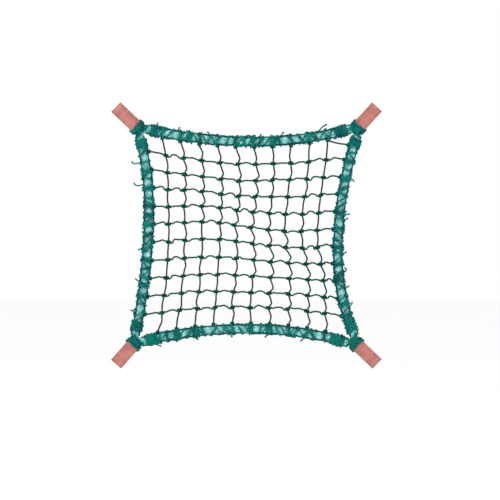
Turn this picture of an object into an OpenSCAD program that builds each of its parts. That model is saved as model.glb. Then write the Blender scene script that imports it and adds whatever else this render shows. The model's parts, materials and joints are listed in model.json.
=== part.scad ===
// Cargo climbing net: a square knotted cord net laced into a rope border,
// with a webbing strap on each corner. The net hangs in the XZ plane with its front towards -Y.
// The origin is the centre of the net, and Z is up. Every size is in millimetres.

/* [Net] */
// Distance between the left and right corner bends of the border rope
net_w = 1165; // [900:5:1500]
// Distance between the top and bottom corner bends of the border rope
net_h = 1133; // [900:5:1500]
// Thickness of the net cord
cord_d = 10; // [6:0.5:12]
// Size of the knot where two net cords cross
knot_d = 25; // [20:0.5:30]
// How far a stretch of cord bows out of line between two knots
cord_bow = 5; // [1:0.5:8]

/* [Border] */
// Thickness of the border rope
rope_d = 40; // [30:1:50]
// Bend radius of the border rope at each corner, at the middle of the rope
bend_r = 30; // [26:1:45]
// How far the top side is pulled in at its deepest point
sag_top = 71; // [40:1:110]
// How far the bottom side is pulled in at its deepest point
sag_bottom = 76; // [40:1:110]
// How far the left side is pulled in at its deepest point
sag_left = 66; // [40:1:110]
// How far the right side is pulled in at its deepest point
sag_right = 101; // [40:1:130]

/* [Lacing] */
// Thickness of the lacing cord and of the edge cords
lace_d = 9; // [6:0.5:12]
// Clearance between the border rope and the cords laid round it
lace_gap = 0.3; // [0.2:0.1:1]
// Size of the knot that ties a net cord to the edge
edge_knot_d = 15; // [12:0.5:18]

/* [Corner straps] */
// Width of the webbing
strap_w = 75; // [60:1:90]
// Thickness of the doubled webbing
strap_t = 7; // [5:0.5:9]
// Hole of the sewn eye at the outer end, where the net is hung
hang_eye_d = 32; // [24:1:40]
// Hole of the sewn eye at the inner end, where the corner lashing passes
lash_eye_d = 24; // [20:1:30]
// How far a hanging eye stands off the corner bend to the side
strap_run_x = 135.5; // [100:0.5:400]
// How far a hanging eye stands off the corner bend upwards or downwards
strap_run_z = 139.5; // [100:0.5:400]

/* [Hidden] */
$fn = 48;
meshes = 11;
TOP = 0;
RIGHT = 1;
BOTTOM = 2;
LEFT = 3;
TL = 0;
TR = 1;
BR = 2;
BL = 3;
side_names = ["top", "right", "bottom", "left"];
corner_names = ["top_left", "top_right", "bottom_right", "bottom_left"];

// Corner bends: each is a little off the rectangle, because the net was tied by hand.
corner_offset = [[12, 0], [7, 0], [-7, -4], [-12, 1]];
corner_sign = [[-1, 1], [1, 1], [1, -1], [-1, -1]];
corners = [for (k = [0:3]) [
    corner_sign[k].x * net_w / 2 + corner_offset[k].x,
    corner_sign[k].y * net_h / 2 + corner_offset[k].y
]];

// Each side is pulled in to a rounded hollow. Its deepest point lies this far along from the middle.
along = [[1, 0], [0, 1], [1, 0], [0, 1]];
outward = [[0, 1], [1, 0], [0, -1], [-1, 0]];
low_corner = [TL, BR, BL, BL];
high_corner = [TR, TR, BR, TL];
deepest_at = [48, -104, 10, 160];
sag = [sag_top, sag_right, sag_bottom, sag_left];
apex = [for (s = [0:3])
    along[s] * deepest_at[s] + outward[s] * (side_reach(s) + bend_r - sag[s])
];
// The first and last mesh of each side start this far in from the corner bends.
low_inset = [4, 32, 1, 28];
high_inset = [40, 53, 36, 2];

// The net hangs unevenly: [column, row, spread in meshes, shift in X, shift in Z] of each slack patch.
slack_patches = [
    [9.8, 7.8, 1.7, 50, 0],
    [6.2, 7.0, 2.0, 26, 0],
    [7.6, 5.2, 1.2, -16, 0],
    [5.4, 5.0, 0.7, -20, 0],
    [6.4, 10.0, 1.8, -14, 0],
    [10.0, 6.0, 1.0, -14, 0],
    [10.0, 2.6, 2.2, 14, 0],
    [5.0, 2.6, 1.6, 12, 0],
    [1.8, 3.6, 1.4, -18, 0],
    [3.6, 4.6, 1.9, 0, 30],
    [8.6, 5.8, 2.4, 0, -24],
    [4.8, 2.6, 1.3, 0, -20],
    [5.6, 9.6, 1.6, 0, -10],
    [7.0, 1.4, 1.6, 0, 8]
];

rope_r = rope_d / 2;
lace_r = lace_d / 2;
// Distance from the middle of the rope to the middle of a cord laid against it
lace_offset = rope_r + lace_gap + lace_r;
// Each net cord is tied in by two turns of lacing, one on either side of its knot
turn_spread = 9;
edge_knot_offset = lace_offset + sqrt(
    pow(edge_knot_d / 2 + lace_r + lace_gap, 2) - turn_spread * turn_spread);
seat_gap = 0.3;
// The lengths of border rope meet a hair apart
seam_angle = 0.0005;

function side_reach(s) = (corners[low_corner[s]] * outward[s] + corners[high_corner[s]] * outward[s]) / 2;
function dir(angle) = [cos(angle), sin(angle)];
function heading(v) = atan2(v.y, v.x);
function corner_of(s, high) = corners[high ? high_corner[s] : low_corner[s]];

// Radius of a half side: it is flat at the deepest point and runs smoothly into the corner bend.
function half_run(s, high) = abs((corner_of(s, high) - apex[s]) * along[s]);
function half_rise(s, high) = (corner_of(s, high) - apex[s]) * outward[s];
function half_radius(s, high) =
    (pow(half_run(s, high), 2) + pow(half_rise(s, high), 2) - bend_r * bend_r)
    / (2 * (bend_r + half_rise(s, high)));
function half_centre(s, high) = apex[s] + outward[s] * half_radius(s, high);
function half_angle(s, high) = asin(half_run(s, high) / (half_radius(s, high) + bend_r));

// A place on a side: run is its distance along the side from the deepest point, which is
// also an angle round the centre of that half, and inset is how far it lies in from the rope's middle.
function angle_at(s, run) = asin(run / half_radius(s, run > 0));
function side_at(s, angle, inset) =
    half_centre(s, angle > 0)
    - (half_radius(s, angle > 0) + inset) * (outward[s] * cos(angle) - along[s] * sin(angle));
function along_side(s, angle) = along[s] * cos(angle) + outward[s] * sin(angle);
function end_run(s, high) = half_radius(s, high) * sin(half_angle(s, high));

// The run of mesh line n of a side, counted from its low end
function first_run(s) = (corner_of(s, false) - apex[s]) * along[s] + low_inset[s];
function last_run(s) = (corner_of(s, true) - apex[s]) * along[s] - high_inset[s];
function line_run(s, n) = first_run(s) + (last_run(s) - first_run(s)) * n / meshes;
function tie(s, n) = side_at(s, angle_at(s, line_run(s, n)), edge_knot_offset);

// Knots between the four sides, blended from the sides and shifted by the slack patches
function corner_blend(u, v) =
    (1 - u) * (1 - v) * (tie(TOP, 0) + tie(LEFT, meshes)) / 2
    + u * (1 - v) * (tie(TOP, meshes) + tie(RIGHT, meshes)) / 2
    + (1 - u) * v * (tie(BOTTOM, 0) + tie(LEFT, 0)) / 2
    + u * v * (tie(BOTTOM, meshes) + tie(RIGHT, 0)) / 2;
function bell(column, row, patch) = exp(
    -(pow(column - patch[0], 2) + pow(row - patch[1], 2)) / (2 * patch[2] * patch[2]));
function edge_fade(n) = min(1, min(n, meshes - n) / 1.2);
function slack(column, row, i = 0) = i == len(slack_patches) ? [0, 0]
    : bell(column, row, slack_patches[i]) * [slack_patches[i][3], slack_patches[i][4]]
        + slack(column, row, i + 1);
function knot(column, row) =
    let (u = column / meshes, v = row / meshes)
    (1 - v) * tie(TOP, column) + v * tie(BOTTOM, column)
    + (1 - u) * tie(LEFT, meshes - row) + u * tie(RIGHT, meshes - row)
    - corner_blend(u, v)
    + slack(column, row) * edge_fade(column) * edge_fade(row);

// The heading of a place on a side, seen from the centre of its half
base_heading = [for (s = [0:3]) heading(-outward[s])];
turn_sign = [for (s = [0:3]) cross(-outward[s], along[s])];
function side_heading(s, angle) = base_heading[s] + turn_sign[s] * angle;
function arc_degrees(length, radius) = length / radius * 180 / PI;

// Turns of cord round the border rope, as runs counted from the low end of a side
lash_start = 15;
lash_pitch = lace_d + lace_gap;
lash_turns = 3;
strand_line = 10.85;
function tie_lines(s) = [
    for (n = [1:meshes - 1]) n,
    if (s == RIGHT) strand_line
];
function low_lash_runs(s) = [for (i = [0:lash_turns - 1])
    -end_run(s, false) + lash_start + i * lash_pitch];
function high_lash_runs(s) = [for (i = [lash_turns - 1:-1:0])
    end_run(s, true) - lash_start - i * lash_pitch];
// The first and last turns of lacing lie at least one pitch from the turns of the corner lashings
function clear_of_lash(s, run) =
    min(max(run, low_lash_runs(s)[lash_turns - 1] + lash_pitch), high_lash_runs(s)[0] - lash_pitch);
function pair_of_turns(s, n) = [line_run(s, n) - turn_spread, line_run(s, n) + turn_spread];
function lacing_runs(s) = [
    for (n = [1:meshes]) each [
        clear_of_lash(s, line_run(s, n - 0.5)),
        if (n < meshes) each pair_of_turns(s, n)
    ],
    if (s == RIGHT) each pair_of_turns(s, strand_line)
];
function all_runs(s) = concat(low_lash_runs(s), lacing_runs(s), high_lash_runs(s));
function lash_runs(leg) = leg[1] ? high_lash_runs(leg[0]) : low_lash_runs(leg[0]);
function nearest_run(leg) = leg[1] ? lash_runs(leg)[lash_turns - 1] : lash_runs(leg)[0];
function has_knot(s, a, b) = b - a < 2.5 * turn_spread
    && len([for (n = tie_lines(s)) if (line_run(s, n) > a && line_run(s, n) < b) n]) > 0;

// Corner straps
quadrant = [90, 0, -90, -180];
first_side = [[TOP, false], [RIGHT, true], [BOTTOM, true], [LEFT, false]];
second_side = [[LEFT, true], [TOP, true], [RIGHT, false], [BOTTOM, false]];
eye_clearance = 0.3;
bar_r = lash_eye_d / 2 - eye_clearance;
eye_wall = strap_t / 2;
eye_gap = 1.5;
lash_eye_reach = bend_r + rope_r + eye_gap + eye_wall + lash_eye_d / 2;
hang_eyes = [for (k = [0:3]) [
    corner_sign[k].x * (net_w / 2 + strap_run_x),
    corner_sign[k].y * (net_h / 2 + strap_run_z)
]];
function strap_heading(k) = heading(hang_eyes[k] - corners[k]);
function strap_length(k) = norm(hang_eyes[k] - corners[k]) - lash_eye_reach;
function in_strap_frame(k, p) =
    let (d = dir(strap_heading(k)), v = p - corners[k])
    [v * d, cross(d, v)];

// Draws its children in the plane of the net: x along X, y along Z, z towards the front
module in_net_plane() {
    rotate([90, 0, 0])
        children();
}

module at(p, heading = 0) {
    translate([p.x, p.y, 0])
        rotate(heading)
            children();
}

// Part of a ring of round cord
module cord_arc(centre, radius, start, sweep, d) {
    at(centre, start)
        rotate_extrude(angle = sweep, $fn = min(256, max(48, ceil(360 / sweep * 6))))
            translate([radius, 0])
                circle(d = d, $fn = 24);
}

// A stretch of cord from p to q that bows to the left of its way by bow.
// It stops short of p and q by the two trims, where the knots are.
module cord_stretch(p, q, bow, trim_p, trim_q, d) {
    chord = norm(q - p);
    radius = (chord * chord / 4 + bow * bow) / (2 * abs(bow));
    half = asin(chord / 2 / radius);
    way = heading(q - p);
    side = bow > 0 ? 90 : -90;
    centre = (p + q) / 2 + dir(way + side) * (abs(bow) - radius);
    cut_p = arc_degrees(trim_p + seat_gap, radius);
    cut_q = arc_degrees(trim_q + seat_gap, radius);
    start = bow > 0 ? way + side - half + cut_q : way + side - half + cut_p;
    cord_arc(centre, radius, start, 2 * half - cut_p - cut_q, d);
}

// Part of a side, or of a cord laid along it, between two angles on the same half
module half_side_arc(s, a, b, inset, d) {
    high = a + b > 0;
    start = min(side_heading(s, a), side_heading(s, b));
    cord_arc(half_centre(s, high), half_radius(s, high) + inset, start, b - a, d);
}

module side_arc(s, a, b, inset, d) {
    if (a < 0)
        half_side_arc(s, a, min(b, -seam_angle), inset, d);
    if (b > 0)
        half_side_arc(s, max(a, seam_angle), b, inset, d);
}

// One turn of cord round the border rope
module turn_of_cord(s, run, d) {
    angle = angle_at(s, run);
    at(side_at(s, angle, 0), heading(along_side(s, angle)))
        rotate([0, 90, 0])
            rotate_extrude()
                translate([rope_r + lace_gap + d / 2, 0])
                    circle(d = d, $fn = 24);
}

module net_cord() {
    color("#34716c")
        in_net_plane()
            children();
}

module vertical_cord(column) {
    net_cord()
        for (row = [0:meshes - 1]) {
            top = row == 0 ? tie(TOP, column) : knot(column, row);
            low = row == meshes - 1 ? tie(BOTTOM, column) : knot(column, row + 1);
            bow = (column + row) % 2 == 0 ? cord_bow : -cord_bow;
            trim_top = row == 0 ? edge_knot_d / 2 : knot_d / 2;
            trim_low = row == meshes - 1 ? edge_knot_d / 2 : knot_d / 2;
            cord_stretch(top, low, bow, trim_top, trim_low, cord_d);
        }
}

module horizontal_cord(row) {
    net_cord()
        for (column = [0:meshes - 1]) {
            left = column == 0 ? tie(LEFT, meshes - row) : knot(column, row);
            right = column == meshes - 1 ? tie(RIGHT, meshes - row) : knot(column + 1, row);
            trim_left = column == 0 ? edge_knot_d / 2 : knot_d / 2;
            trim_right = column == meshes - 1 ? edge_knot_d / 2 : knot_d / 2;
            cord_stretch(left, right, cord_bow, trim_left, trim_right, cord_d);
        }
}

// A short loose strand that closes off the corner of the last mesh at the top right
module corner_strand() {
    net_cord()
        cord_stretch(tie(TOP, meshes - 1), tie(RIGHT, strand_line), -cord_bow,
            edge_knot_d / 2 + seat_gap, edge_knot_d / 2, cord_d);
}

module knots_row(row) {
    net_cord()
        for (column = [1:meshes - 1])
            at(knot(column, row))
                sphere(d = knot_d);
}

module edge_knots(s) {
    net_cord()
        for (n = tie_lines(s))
            at(tie(s, n))
                sphere(d = edge_knot_d, $fn = 24);
}

module border_rope(s) {
    color("#8fc0bc")
        in_net_plane()
            side_arc(s, seam_angle - half_angle(s, false), half_angle(s, true) - seam_angle, 0, rope_d);
}

module corner_bend(k) {
    first = first_side[k];
    second = second_side[k];
    first_angle = half_angle(first[0], first[1]);
    second_angle = half_angle(second[0], second[1]);
    color("#8fc0bc")
        in_net_plane()
            cord_arc(corners[k], bend_r, quadrant[k] - first_angle,
                90 + first_angle + second_angle, rope_d);
}

// The cord laid along the rope, in pieces between the turns of lacing: inset is
// positive for the inner edge of the border and negative for the outer edge
module edge_cord(s, inset) {
    runs = all_runs(s);
    cut = lace_r + seat_gap;
    shortest = 3;
    color("#194d49")
        in_net_plane()
            for (i = [0:len(runs) - 2]) {
                room = runs[i + 1] - runs[i] - 2 * cut;
                under_knot = inset > 0 && has_knot(s, runs[i], runs[i + 1]);
                if (room > shortest && !under_knot)
                    side_arc(s, angle_at(s, runs[i] + cut), angle_at(s, runs[i + 1] - cut),
                        inset, lace_d);
            }
}

module lacing(s) {
    color("#1f5f59")
        in_net_plane()
            for (run = lacing_runs(s))
                turn_of_cord(s, run, lace_d);
}

// The lashing holds a strap to its corner: turns round both legs of the rope, turns over
// the bend, and a bar of cord through the strap's eye that is tied back to both legs
module tied_back(from, to) {
    way = to - from;
    at(from, heading(way))
        rotate([0, 90, 0])
            cylinder(d = lace_d, h = norm(way), $fn = 24);
}

module corner_lashing(k) {
    legs = [first_side[k], second_side[k]];
    bar_end = strap_w / 2 + 2 + bar_r;
    elbow_r = bar_r + 0.5;
    over_x = [bend_r - 5, bend_r - 5 + lash_pitch];
    over_length = 1.6 * bend_r;
    color("#0f5a53")
        in_net_plane() {
            for (leg = legs, run = lash_runs(leg))
                turn_of_cord(leg[0], run, lace_d);
            at(corners[k], strap_heading(k)) {
                translate([lash_eye_reach, 0, 0])
                    rotate([90, 0, 0])
                        cylinder(r = bar_r, h = 2 * bar_end, center = true);
                for (leg = legs) {
                    angle = angle_at(leg[0], nearest_run(leg));
                    hold = in_strap_frame(k, side_at(leg[0], angle, -lace_offset));
                    elbow = [lash_eye_reach, sign(hold.y) * bar_end];
                    at(elbow)
                        sphere(r = elbow_r);
                    tied_back(elbow, hold);
                }
                for (x = over_x, z = [-lace_offset, lace_offset])
                    translate([x, 0, z])
                        rotate([90, 0, 0])
                            cylinder(d = lace_d, h = over_length, center = true, $fn = 24);
            }
        }
}

// A strap of doubled webbing with a sewn eye at each end
module corner_strap(k) {
    color("#c58277")
        in_net_plane()
            at(corners[k], strap_heading(k))
                translate([lash_eye_reach, 0, 0])
                    difference() {
                        union() {
                            rotate([90, 0, 0])
                                cylinder(d = lash_eye_d + 2 * eye_wall, h = strap_w, center = true);
                            translate([strap_length(k), 0, 0])
                                rotate([90, 0, 0])
                                    cylinder(d = hang_eye_d + 2 * eye_wall, h = strap_w,
                                        center = true);
                            translate([0, -strap_w / 2, -strap_t / 2])
                                cube([strap_length(k), strap_w, strap_t]);
                        }
                        rotate([90, 0, 0])
                            cylinder(d = lash_eye_d, h = strap_w + 2, center = true);
                        translate([strap_length(k), 0, 0])
                            rotate([90, 0, 0])
                                cylinder(d = hang_eye_d, h = strap_w + 2, center = true);
                    }
}

function numbered(name, n) = str(name, n < 10 ? "_0" : "_", n);

for (n = [1:meshes - 1]) {
    vertical_cord(n);
    horizontal_cord(n);
    knots_row(n);
}
corner_strand();
for (s = [0:3]) {
    edge_knots(s);
    edge_cord(s, lace_offset);
    edge_cord(s, -lace_offset);
    lacing(s);
    border_rope(s);
}
for (k = [0:3]) corner_bend(k);  // corner_bends
for (k = [0:3]) {
    corner_lashing(k);
    corner_strap(k);
}
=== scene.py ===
"""A cargo climbing net: knotted green cord laced into an aqua rope border and hung by webbing straps.

The net hangs in the XZ plane with its front towards -Y. Lengths are in metres.
"""
import json
import logging
import math
from dataclasses import dataclass, field
from enum import Enum

import bpy
import numpy as np
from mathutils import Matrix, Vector


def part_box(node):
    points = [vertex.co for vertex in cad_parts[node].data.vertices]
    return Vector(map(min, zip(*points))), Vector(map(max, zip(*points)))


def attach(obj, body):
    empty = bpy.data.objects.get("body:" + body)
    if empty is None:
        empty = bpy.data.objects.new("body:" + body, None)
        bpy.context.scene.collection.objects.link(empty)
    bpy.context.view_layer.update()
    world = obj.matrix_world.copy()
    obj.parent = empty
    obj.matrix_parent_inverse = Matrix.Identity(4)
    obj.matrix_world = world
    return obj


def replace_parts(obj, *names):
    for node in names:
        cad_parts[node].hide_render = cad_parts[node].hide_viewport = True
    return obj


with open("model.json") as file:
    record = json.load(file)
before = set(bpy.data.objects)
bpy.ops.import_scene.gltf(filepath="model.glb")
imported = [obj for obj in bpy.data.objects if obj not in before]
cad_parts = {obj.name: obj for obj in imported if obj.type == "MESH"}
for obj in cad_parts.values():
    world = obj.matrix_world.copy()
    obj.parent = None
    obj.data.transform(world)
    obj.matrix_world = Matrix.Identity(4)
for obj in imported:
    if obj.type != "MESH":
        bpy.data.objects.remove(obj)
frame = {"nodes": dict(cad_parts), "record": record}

log = logging.getLogger("climbing_net")

MM = 0.001
TURN = 2 * math.pi
FRONT = np.array([0.0, -1.0, 0.0])
NET_BODY = "net"
LINES = 10
# How the lacing cord is laid: the length of one turn of a strand, the sides of a strand and the
# step along it.
FINE_LAY = 0.03
FINE_SIDES = 6
FINE_STEP = 4 * MM
# How far the end of a net cord runs in under the border.
TUCK_IN = 8 * MM
# The unit of the fibre coordinate along a strand.
FIBRE_RUN = 0.01
SHEEN_ROUGHNESS = 0.45

Points = np.ndarray
Colour = tuple[float, float, float]


class Side(Enum):
    """The four sides of the border, in clockwise order as seen from the front."""

    TOP = "top"
    RIGHT = "right"
    BOTTOM = "bottom"
    LEFT = "left"


class Corner(Enum):
    """The four corners of the net, each at the end of the side of the same place in the order."""

    TOP_RIGHT = "top_right"
    BOTTOM_RIGHT = "bottom_right"
    BOTTOM_LEFT = "bottom_left"
    TOP_LEFT = "top_left"


class WrapStyle(Enum):
    """The ways in which the lacing cord goes round the border rope."""

    BAND = "band"
    CROSS = "cross"
    SINGLE = "single"


# ---------------------------------------------------------------- paths and meshes


def unit(v: Points) -> Points:
    """Returns the vectors in v at length one."""
    return v / np.maximum(np.linalg.norm(v, axis=-1, keepdims=True), 1e-12)


def arc_lengths(points: Points) -> Points:
    """Returns each point's distance along the line."""
    steps = np.linalg.norm(np.diff(points, axis=0), axis=1)
    return np.concatenate([[0.0], np.cumsum(steps)])


def smooth_path(points: Points, step: float, closed: bool = False) -> tuple[Points, Points]:
    """Runs a smooth curve through the points.

    Args:
        points: The points to pass, as rows of x, y, z.
        step: The distance between the points of the result.
        closed: Whether the curve comes back to its first point.

    Returns:
        The evenly spaced points of the curve, and for each the position in the list
        of given points, as a real number.
    """
    p = np.asarray(points, float)
    if closed:
        p = np.vstack([p[-1], p, p[0], p[1]])
    else:
        p = np.vstack([2 * p[0] - p[1], p, 2 * p[-1] - p[-2]])
    knots = np.sqrt(np.linalg.norm(np.diff(p, axis=0), axis=1)) + 1e-9
    dense, index = [], []
    fractions = np.linspace(0, 1, 12, endpoint=False)[:, None]
    for i in range(1, len(p) - 2):
        before, here, after = knots[i - 1], knots[i], knots[i + 1]
        step_in, step_on, step_out = p[i] - p[i - 1], p[i + 1] - p[i], p[i + 2] - p[i + 1]
        a = step_in / before - (p[i + 1] - p[i - 1]) / (before + here) + step_on / here
        b = step_on / here - (p[i + 2] - p[i]) / (here + after) + step_out / after
        start, end = a * here, b * here
        t = fractions
        dense.append(
            (2 * t**3 - 3 * t**2 + 1) * p[i]
            + (t**3 - 2 * t**2 + t) * start
            + (-2 * t**3 + 3 * t**2) * p[i + 1]
            + (t**3 - t**2) * end
        )
        index.append(i - 1 + t[:, 0])
    curve = np.vstack(dense + [p[-2]])
    places = np.concatenate(index + [[len(p) - 3.0]])
    length = arc_lengths(curve)
    count = max(4, int(round(length[-1] / step)) + 1)
    wanted = np.linspace(0, length[-1], count)
    even = np.stack([np.interp(wanted, length, curve[:, k]) for k in range(3)], axis=1)
    return even, np.interp(wanted, length, places)


def carried_frames(points: Points) -> tuple[Points, Points, Points]:
    """Carries a pair of crosswise axes along a path without twist.

    Args:
        points: The points of the path.

    Returns:
        The direction of the path, and the two axes across it, at each point.
    """
    along = unit(np.gradient(points, axis=0))
    first = np.cross(along[0], [0.31, 0.82, 0.47])
    across = np.empty_like(points)
    across[0] = first / np.linalg.norm(first)
    for i in range(1, len(points)):
        v = across[i - 1] - along[i] * across[i - 1].dot(along[i])
        across[i] = v / math.sqrt(v.dot(v))
    return along, across, np.cross(along, across)


def srgb(red: int, green: int, blue: int) -> Colour:
    """Returns a display colour of 0 to 255 as linear light."""
    parts = [c / 255 for c in (red, green, blue)]
    return tuple(c / 12.92 if c <= 0.04045 else ((c + 0.055) / 1.055) ** 2.4 for c in parts)


@dataclass
class MeshWork:
    """Collects the tubes and ribbons of one piece and turns them into an object.

    Each vertex keeps where it lies on its own strand, for the run of the fibres,
    and a tone that scales its colour: painted shade on knots and where cords lie under or
    between others, painted light on the outer yarns of the rope and down the middle of the
    webbing, and some random difference of shade from cord to cord.
    """

    name: str
    verts: list[Points] = field(default_factory=list)
    faces: list[Points] = field(default_factory=list)
    strand: list[Points] = field(default_factory=list)
    tone: list[Points] = field(default_factory=list)
    count: int = 0

    def add_rings(self, rings: Points, strand: Points, tone: Points, closed: bool = False) -> None:
        """Skins a row of rings.

        Args:
            rings: Points of shape (rings, sides, 3).
            strand: Fibre coordinates of the same shape.
            tone: One tone for each ring, or for each point.
            closed: Whether the last ring joins the first.
        """
        rows, sides = rings.shape[:2]
        grid = np.arange(rows * sides).reshape(rows, sides) + self.count
        around = np.roll(grid, -1, axis=1)
        if closed:
            above, above_around = np.roll(grid, -1, axis=0), np.roll(around, -1, axis=0)
            quads = np.stack([grid, around, above_around, above], axis=-1).reshape(-1, 4)
        else:
            quads = np.stack([grid[:-1], around[:-1], around[1:], grid[1:]], axis=-1).reshape(-1, 4)
        self.faces.append(quads)
        self.verts.append(rings.reshape(-1, 3))
        self.strand.append(strand.reshape(-1, 3))
        self.tone.append(np.broadcast_to(tone.reshape(rows, -1), (rows, sides)).reshape(-1))
        self.count += rows * sides
        if not closed:
            for row, order in ((0, -1), (rows - 1, 1)):
                self._cap(rings[row], strand[row], float(np.mean(tone[row])), grid[row][::order])

    def _cap(self, ring: Points, strand: Points, tone: float, rim: Points) -> None:
        """Closes an open end with a fan of triangles round its middle.

        Args:
            ring: The points of the last ring.
            strand: Their fibre coordinates.
            tone: The tone of the end.
            rim: The numbers of the ring's vertices, in the order that faces outward.
        """
        middle = self.count
        self.verts.append(ring.mean(axis=0)[None])
        self.strand.append(strand.mean(axis=0)[None])
        self.tone.append(np.array([tone]))
        fan = np.stack([rim, np.roll(rim, -1), np.full(len(rim), middle)], axis=-1)
        self.faces.append(fan)
        self.count += 1

    def add_strand(
        self,
        centres: Points,
        outward: Points,
        radius: Points,
        tone: Points,
        sides: int = 8,
    ) -> None:
        """Adds one strand of yarn.

        Args:
            centres: The middle of the strand at each ring.
            outward: The direction that the ring starts from at each ring.
            radius: The strand's radius at each ring.
            tone: The tone at each ring.
            sides: The number of sides of the ring.
        """
        along = unit(np.gradient(centres, axis=0))
        first = unit(outward - along * np.sum(outward * along, axis=1, keepdims=True))
        second = np.cross(along, first)
        angle = np.arange(sides) * TURN / sides
        length = arc_lengths(centres)
        size = np.repeat(radius[:, None], sides, axis=1)
        cos, sin = np.cos(angle), np.sin(angle)
        rings = centres[:, None] + size[..., None] * (
            first[:, None] * cos[None, :, None] + second[:, None] * sin[None, :, None]
        )
        run = np.repeat((length / FIBRE_RUN)[:, None], sides, axis=1)
        fibre = np.stack(
            [np.broadcast_to(cos, run.shape), np.broadcast_to(sin, run.shape), run], axis=-1
        )
        self.add_rings(rings, fibre, tone)

    def add_laid_cord(
        self,
        path: Points,
        radius: float,
        tone: Points | float = 0.5,
        strands: int = 3,
        lay: float = 0.036,
        sides: int = 7,
        phase: float = 0.0,
        taper: float = 0.0,
    ) -> None:
        """Adds a cord of strands laid round each other.

        Args:
            path: The middle of the cord.
            radius: The cord's radius.
            tone: The tone, for the whole cord or at each point.
            strands: The number of strands.
            lay: The length in which a strand goes round once.
            sides: The sides of each strand.
            phase: Where the first strand starts, in radians.
            taper: How much the strands spread apart at the far end, for a cut end.
        """
        _, across, third = carried_frames(path)
        length = arc_lengths(path)
        tones = np.full(len(path), tone) if np.isscalar(tone) else np.asarray(tone)
        frayed = 3 * radius
        spread = 1 + taper * np.clip((length - length[-1] + frayed) / frayed, 0, 1) ** 2
        spacing = math.sin(math.pi / strands)
        thick = radius / (1 + 1.02 / spacing) / spacing * 1.02
        for k in range(strands):
            turn = length * TURN / lay + TURN * k / strands + phase
            out = across * np.cos(turn)[:, None] + third * np.sin(turn)[:, None]
            centres = path + out * ((radius - thick) * spread)[:, None]
            self.add_strand(centres, out, np.full(len(path), thick), tones, sides)

    def add_fine_cord(
        self, points: Points, radius: float, tone: float, rng: np.random.Generator,
        step: float = FINE_STEP, taper: float = 0.0,
    ) -> None:
        """Runs a thin cord smoothly through the points.

        Args:
            points: The points that it passes.
            radius: The cord's radius.
            tone: Its tone.
            rng: The random draws, for where its first strand starts.
            step: The distance between its rings.
            taper: How much the strands spread apart at the far end.
        """
        path, _ = smooth_path(points, step)
        phase = rng.uniform(0, TURN)
        self.add_laid_cord(
            path, radius, tone, lay=FINE_LAY, sides=FINE_SIDES, phase=phase, taper=taper
        )

    def to_object(self, finish: "Finish", body: str = NET_BODY) -> bpy.types.Object:
        """Makes the object, dresses it and puts it on its body.

        Args:
            finish: The finish that it gets.
            body: The body that it rides on.

        Returns:
            The new object.
        """
        mesh = bpy.data.meshes.new(self.name)
        verts = np.vstack(self.verts)
        loops = np.concatenate([f.reshape(-1) for f in self.faces])
        sizes = np.concatenate([np.full(len(f), f.shape[1]) for f in self.faces])
        mesh.vertices.add(len(verts))
        mesh.vertices.foreach_set("co", verts.astype(np.float32).reshape(-1))
        mesh.loops.add(len(loops))
        mesh.loops.foreach_set("vertex_index", loops.astype(np.int32))
        mesh.polygons.add(len(sizes))
        starts = np.concatenate([[0], np.cumsum(sizes)[:-1]])
        mesh.polygons.foreach_set("loop_start", starts.astype(np.int32))
        mesh.polygons.foreach_set("use_smooth", np.ones(len(sizes), bool))
        mesh.update(calc_edges=True)
        mesh.validate()
        strand = mesh.attributes.new("strand", "FLOAT_VECTOR", "POINT")
        strand.data.foreach_set("vector", np.vstack(self.strand).astype(np.float32).reshape(-1))
        tone = mesh.attributes.new("tone", "FLOAT", "POINT")
        tone.data.foreach_set("value", np.concatenate(self.tone).astype(np.float32))
        obj = bpy.data.objects.new(self.name, mesh)
        bpy.context.scene.collection.objects.link(obj)
        mesh.materials.append(finish.material())
        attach(obj, body)
        log.info("%s: %d points on %s", self.name, len(verts), body)
        return obj


# ---------------------------------------------------------------- finishes


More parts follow.
